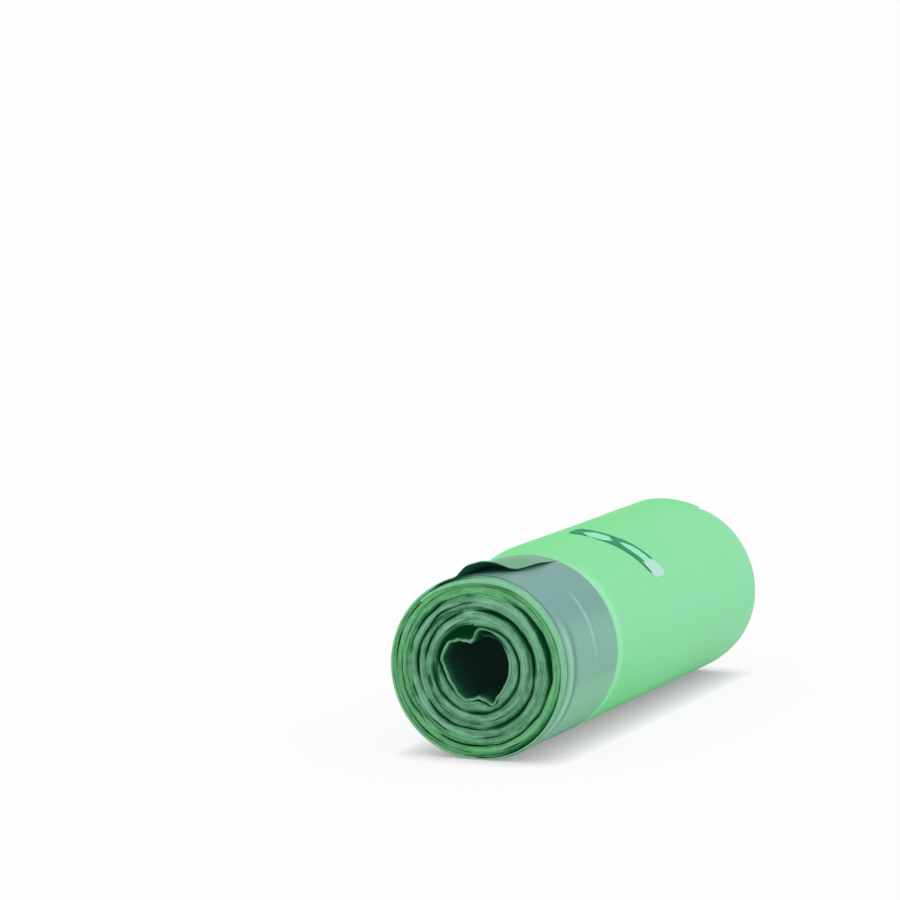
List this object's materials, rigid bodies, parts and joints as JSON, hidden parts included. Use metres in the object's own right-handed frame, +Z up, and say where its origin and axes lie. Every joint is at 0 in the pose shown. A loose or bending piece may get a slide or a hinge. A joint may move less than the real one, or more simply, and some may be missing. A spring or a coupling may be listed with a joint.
{
  "type": "bin bag roll",
  "caption": "Soft roll of thin drawtape bin bags wound on an empty core, with a tape hem band at one end, a loose lap corner and a small closing label.",
  "frame": {"origin": "middle of the flat spot that the roll lies on, halfway along its length", "axes": "+Y along the roll away from the hem end, +Z up, +X to the side that the lap's free edge faces"},
  "size_m": [0.07, 0.225, 0.0743],
  "materials": {
    "film": "thin translucent green film with a soft sheen",
    "tape": "grey-blue tape seen through the film of the hem",
    "label": "pale plastic label with a dark green edge"
  },
  "bodies": {
    "root": {"bag_web": "film", "drawtape": "tape", "closing_label": "label"}
  },
  "joints": []
}
